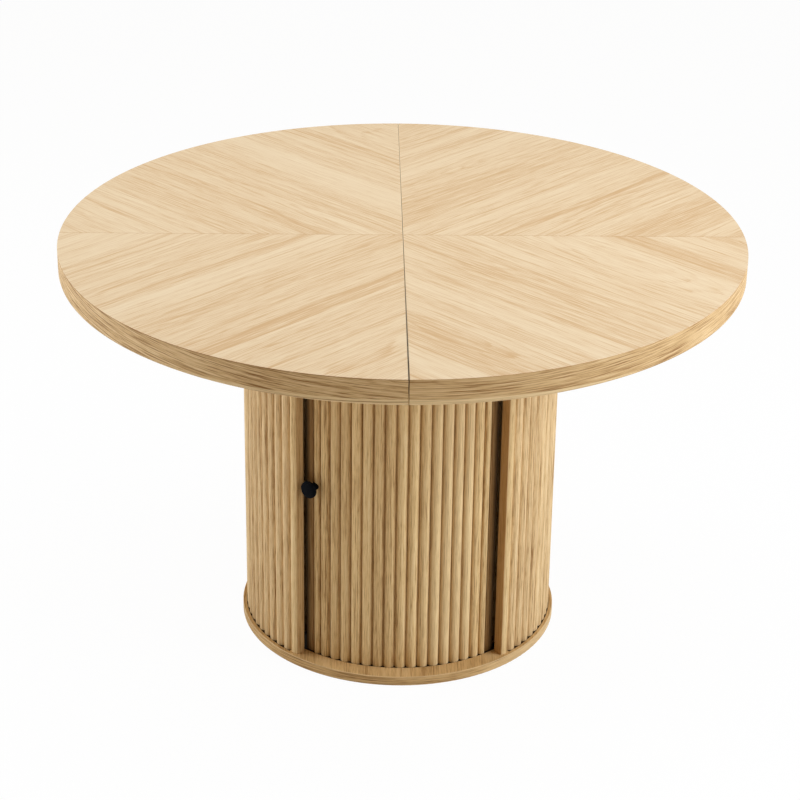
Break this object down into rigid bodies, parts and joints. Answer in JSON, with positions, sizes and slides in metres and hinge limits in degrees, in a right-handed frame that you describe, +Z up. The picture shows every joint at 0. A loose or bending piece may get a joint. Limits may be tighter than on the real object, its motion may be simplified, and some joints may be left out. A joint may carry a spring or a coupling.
{
  "type": "round dining table with storage pedestal",
  "caption": "Round dining table on a fluted drum pedestal. The drum is a storage cabinet whose curved door slides round inside it.",
  "frame": {"origin": "on the floor, under the middle of the tabletop", "axes": "+Z up, -Y to the front where the door is, +X to the right"},
  "size_m": [1.2, 1.2, 0.745],
  "materials": {
    "oak_top": "pale oak veneer, matt lacquer",
    "oak_edge": "oak edge veneer, matt lacquer",
    "oak_flute": "oak slats, matt lacquer",
    "oak_board": "oak-faced board, matt",
    "oak_backing": "bent plywood, oak faced",
    "core_board": "raw particle board",
    "beech": "raw beech",
    "black_knob": "matt black powder coat",
    "steel": "zinc plated",
    "brass": "plain",
    "rubber": "matt",
    "nylon": "moulded, matt",
    "felt": "pressed felt"
  },
  "bodies": {
    "table": {"back_panel": "oak_board", "base_edge_band": "oak_edge", "base_plate": "oak_board", "base_screws": "steel", "closed_stop": "rubber", "floor_pads": "felt", "joining_plates": "steel", "joining_screws": "steel", "lower_track": "nylon", "open_stop": "rubber", "pedestal_bolts": "steel", "post_left": "oak_flute", "post_right": "oak_flute", "rear_upright_left": "oak_backing", "rear_upright_right": "oak_backing", "seam_dowels": "beech", "shelf": "oak_board", "shelf_pins": "steel", "shell_panel_back": "oak_backing", "shell_panel_left": "oak_backing", "shell_panel_right": "oak_backing", "shell_slats_back": "oak_flute", "shell_slats_left": "oak_flute", "shell_slats_right": "oak_flute", "side_panel_left": "oak_board", "side_panel_right": "oak_board", "threaded_inserts": "brass", "top_edge_band_left": "oak_edge", "top_edge_band_right": "oak_edge", "top_plate": "oak_board", "top_plate_edge_band": "oak_edge", "top_plate_screws": "steel", "top_slab_left": "core_board", "top_slab_right": "core_board", "top_veneer_front_left": "oak_top", "top_veneer_front_right": "oak_top", "top_veneer_rear_left": "oak_top", "top_veneer_rear_right": "oak_top", "under_board_left": "oak_edge", "under_board_right": "oak_edge", "upper_track": "nylon"},
    "sliding_door": {"door_backing": "oak_backing", "door_slats": "oak_flute", "door_leading_stile": "oak_flute", "door_trailing_stile": "oak_flute", "door_lower_glides": "nylon", "door_upper_guides": "nylon", "knob": "black_knob", "knob_screw": "steel"}
  },
  "joints": [
    {"name": "door_slide", "type": "hinge", "parent": "table", "child": "sliding_door", "pos_m": [0, 0, 0.35], "axis": [0, 0, 1], "range_deg": [0, 72.1]}
  ]
}
